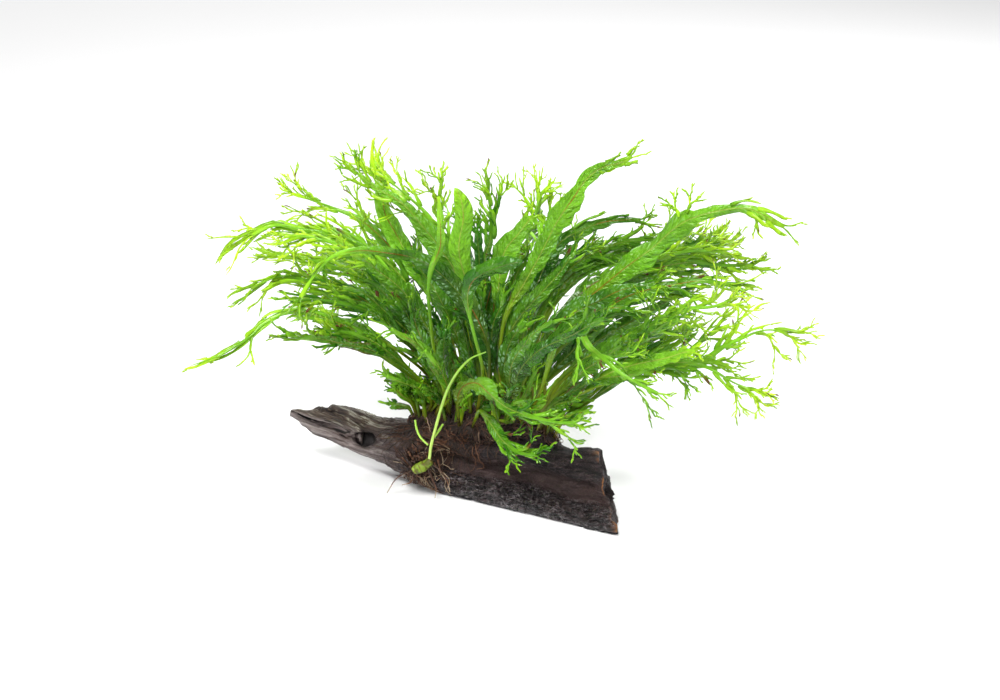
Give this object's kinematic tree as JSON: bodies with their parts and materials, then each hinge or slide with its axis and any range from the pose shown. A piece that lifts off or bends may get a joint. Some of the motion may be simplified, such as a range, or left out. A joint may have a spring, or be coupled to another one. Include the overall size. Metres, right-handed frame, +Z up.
{
  "type": "java fern on driftwood",
  "caption": "Java fern with long wavy strap fronds ending in finely forked, lace-like tips, rooted on top of a tapering piece of dark driftwood that lies flat on its underside.",
  "frame": {"origin": "on the flat resting underside of the driftwood, near its middle", "axes": "+Z up; +X to the right and +Y away from the viewer in the front view, which shows the wood's thick end at the lower right"},
  "size_m": [0.2784, 0.2098, 0.1685],
  "materials": {
    "driftwood": "wet, dark, weathered grain",
    "roots": "matted dark brown root fibres",
    "runner": "smooth pale green stalk",
    "strap_leaf": "wet, quilted, translucent leaf",
    "plume_leaf": "wet, deeply forked translucent leaf",
    "lace_leaf": "wet, thin light green prongs",
    "young_leaf": "wet, small young leaf"
  },
  "bodies": {
    "root": {"driftwood": "driftwood", "lace_fan_middle": "lace_leaf", "lace_far_left_high": "lace_leaf", "lace_lowest_left": "lace_leaf", "lace_right_curl": "lace_leaf", "lace_right_spray": "lace_leaf", "lace_right_spray_low": "lace_leaf", "plume_arch_left": "plume_leaf", "plume_back_far_left": "plume_leaf", "plume_back_far_right": "plume_leaf", "plume_front_curl": "plume_leaf", "plume_front_dark": "plume_leaf", "plume_front_drop": "plume_leaf", "plume_front_wavy": "plume_leaf", "plume_left_back": "plume_leaf", "plume_left_inner": "plume_leaf", "plume_left_middle": "plume_leaf", "plume_left_upper": "plume_leaf", "plume_low_left": "plume_leaf", "plume_middle_back": "plume_leaf", "plume_narrow_upright": "plume_leaf", "plume_right_far": "plume_leaf", "plume_right_front": "plume_leaf", "plume_right_low_stalk": "plume_leaf", "plume_right_middle": "plume_leaf", "plume_right_middle_low": "plume_leaf", "plume_right_upper": "plume_leaf", "root_mat": "roots", "runner_stalk": "runner", "runner_stump": "runner", "strap_back_left": "strap_leaf", "strap_back_middle": "strap_leaf", "strap_back_right": "strap_leaf", "strap_bright_short": "strap_leaf", "strap_broad_left": "strap_leaf", "strap_dark_arch_left": "strap_leaf", "strap_dark_arch_right": "strap_leaf", "strap_dark_hooked": "strap_leaf", "strap_light_left": "strap_leaf", "strap_light_upright": "strap_leaf", "strap_long_arch_right": "strap_leaf", "strap_middle_dark": "strap_leaf", "strap_red_rib_left": "strap_leaf", "strap_right_dark_back": "strap_leaf", "strap_right_dark_front": "strap_leaf", "strap_right_inner": "strap_leaf", "strap_right_light": "strap_leaf", "strap_tall_left": "strap_leaf", "strap_tall_right": "strap_leaf", "young_front_leaf": "young_leaf", "young_front_sprig": "young_leaf", "young_left_foot": "young_leaf", "young_left_front_low": "young_leaf"}
  },
  "joints": []
}
